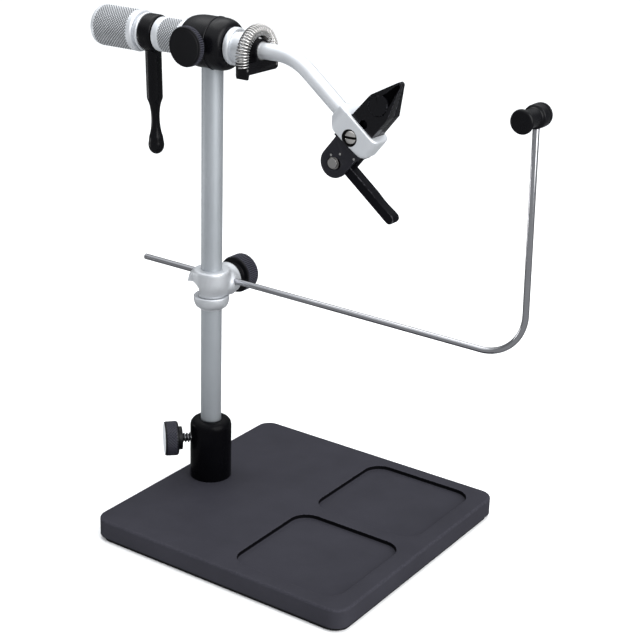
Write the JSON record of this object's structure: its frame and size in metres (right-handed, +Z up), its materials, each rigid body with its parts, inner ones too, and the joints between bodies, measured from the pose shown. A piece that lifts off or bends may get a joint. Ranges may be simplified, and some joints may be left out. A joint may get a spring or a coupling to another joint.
{
  "type": "fly tying vise",
  "caption": "Rotary fly tying vise on a pedestal base: post, swivelling head with crank and locking drum, cam-lever jaws, material spring and bobbin cradle.",
  "frame": {"origin": "on the post axis at the table, in the underside of the rubber pad", "axes": "+X along the rotary shaft from the post towards the jaws, +Y away from the brake knob, +Z up along the post"},
  "size_m": [0.256, 0.1524, 0.2657],
  "materials": {
    "base_coat": "fine matt powder coat",
    "pad_rubber": "matt",
    "black_metal": "satin black",
    "zinc_steel": "zinc plated",
    "dark_steel": "black oxide",
    "post_metal": "satin anodised",
    "blasted_metal": "bead blasted",
    "knurled_metal": "diamond knurled",
    "polished_rod": "polished",
    "spring_steel": "bright",
    "knob_plastic": "satin black",
    "black_gloss": "soft gloss black",
    "bush_bronze": "sintered bronze",
    "nylon_pad": "natural",
    "jaw_steel": "black satin"
  },
  "bodies": {
    "base": {"base_plate": "base_coat", "base_pad": "pad_rubber", "post_socket": "black_metal", "socket_bolt": "dark_steel"},
    "clamp_knob": {"clamp_stud": "zinc_steel", "clamp_knob": "knob_plastic", "clamp_knob_cap": "zinc_steel"},
    "post": {"post": "post_metal"},
    "stop_collar": {"stop_collar": "blasted_metal", "collar_set_screw": "dark_steel"},
    "cradle_bracket": {"cradle_bracket": "blasted_metal"},
    "bracket_knob": {"bracket_stud": "zinc_steel", "bracket_knob": "knob_plastic"},
    "cradle_rod": {"cradle_rod": "polished_rod", "cradle_spool": "black_gloss", "spool_set_screw": "dark_steel"},
    "head": {"housing_body": "black_metal", "housing_front_cap": "black_metal", "front_bush": "bush_bronze", "rear_bush": "bush_bronze", "head_set_screw": "dark_steel", "brake_pad": "nylon_pad"},
    "brake_knob": {"brake_stud": "zinc_steel", "brake_knob": "knob_plastic"},
    "shaft": {"rotary_shaft": "zinc_steel", "knurled_sleeve": "knurled_metal", "sleeve_set_screw": "dark_steel", "rear_flange": "blasted_metal", "front_flange": "blasted_metal", "jaw_arm": "blasted_metal", "arm_set_screw": "dark_steel", "jaw_block": "blasted_metal", "block_screw": "zinc_steel", "clevis": "black_metal", "clevis_rivets": "zinc_steel", "cam_pin": "zinc_steel"},
    "crank": {"crank_handle": "black_gloss"},
    "drum": {"drum_knob": "knurled_metal", "drum_collar": "blasted_metal"},
    "clip": {"material_clip": "black_gloss", "material_spring": "spring_steel", "spring_anchors": "zinc_steel"},
    "lever": {"cam_lever": "black_metal"},
    "near_jaw": {"near_jaw": "jaw_steel"},
    "far_jaw": {"far_jaw": "jaw_steel", "jaw_spring": "spring_steel"},
    "draw_bar": {"draw_bar": "dark_steel", "jaw_pin": "zinc_steel"}
  },
  "joints": [
    {"name": "clamp_screw_turn", "type": "hinge", "parent": "base", "child": "clamp_knob", "pos_m": [0, 0, 0.0353], "axis": [-0.7071, -0.7071, 0], "range_deg": [-360, 0]},
    {"name": "post_height", "type": "slide", "parent": "base", "child": "post", "axis": [0, 0, 1], "range_m": [0, 0.015]},
    {"name": "collar_height", "type": "slide", "parent": "post", "child": "stop_collar", "axis": [0, 0, 1], "range_m": [-0.04, 0.035]},
    {"name": "cradle_swing", "type": "hinge", "parent": "stop_collar", "child": "cradle_bracket", "pos_m": [0, 0, 0.1241], "axis": [0, 0, 1], "continuous": true},
    {"name": "bracket_screw_turn", "type": "hinge", "parent": "cradle_bracket", "child": "bracket_knob", "pos_m": [0, 0.02, 0.1241], "axis": [0, 1, 0], "range_deg": [-360, 0]},
    {"name": "cradle_rod_slide", "type": "slide", "parent": "cradle_bracket", "child": "cradle_rod", "axis": [1, 0, -0.0079], "range_m": [-0.04, 0.03]},
    {"name": "head_swivel", "type": "hinge", "parent": "post", "child": "head", "pos_m": [0, 0, 0.242], "axis": [0, 0, 1], "continuous": true},
    {"name": "brake_screw_turn", "type": "hinge", "parent": "head", "child": "brake_knob", "pos_m": [0, -0.02, 0.253], "axis": [0, -1, 0], "range_deg": [-360, 0]},
    {"name": "rotary_spin", "type": "hinge", "parent": "head", "child": "shaft", "pos_m": [0, 0, 0.2522], "axis": [1, 0, 0], "continuous": true},
    {"name": "crank_index", "type": "hinge", "parent": "shaft", "child": "crank", "pos_m": [-0.038, 0, 0.2522], "axis": [1, 0, 0], "continuous": true},
    {"name": "drum_turn", "type": "hinge", "parent": "shaft", "child": "drum", "pos_m": [-0.06, 0, 0.2522], "axis": [1, 0, 0], "range_deg": [-360, 0]},
    {"name": "clip_turn", "type": "hinge", "parent": "shaft", "child": "clip", "pos_m": [0.0277, 0, 0.2522], "axis": [1, 0, 0], "continuous": true},
    {"name": "lever_swing", "type": "hinge", "parent": "shaft", "child": "lever", "pos_m": [0.07731, 0, 0.20485], "axis": [0, 1, 0], "range_deg": [0, 90]},
    {"name": "near_jaw_rock", "type": "hinge", "parent": "shaft", "child": "near_jaw", "pos_m": [0.09301, -0.0055, 0.22539], "axis": [0.7826, 0, -0.6225], "range_deg": [0, 2]},
    {"name": "far_jaw_rock", "type": "hinge", "parent": "shaft", "child": "far_jaw", "pos_m": [0.09301, 0.0055, 0.22539], "axis": [-0.7826, 0, 0.6225], "range_deg": [0, 2]},
    {"name": "draw_bar_slide", "type": "slide", "parent": "shaft", "child": "draw_bar", "axis": [0.6225, 0, 0.7826], "range_m": [0, 0.0005]}
  ],
  "couplings": [
    {"joint": "near_jaw_rock", "follows": "lever_swing", "ratio": 0.0222},
    {"joint": "far_jaw_rock", "follows": "lever_swing", "ratio": 0.0222},
    {"joint": "draw_bar_slide", "follows": "lever_swing", "m_per_rad": 0.000318}
  ]
}
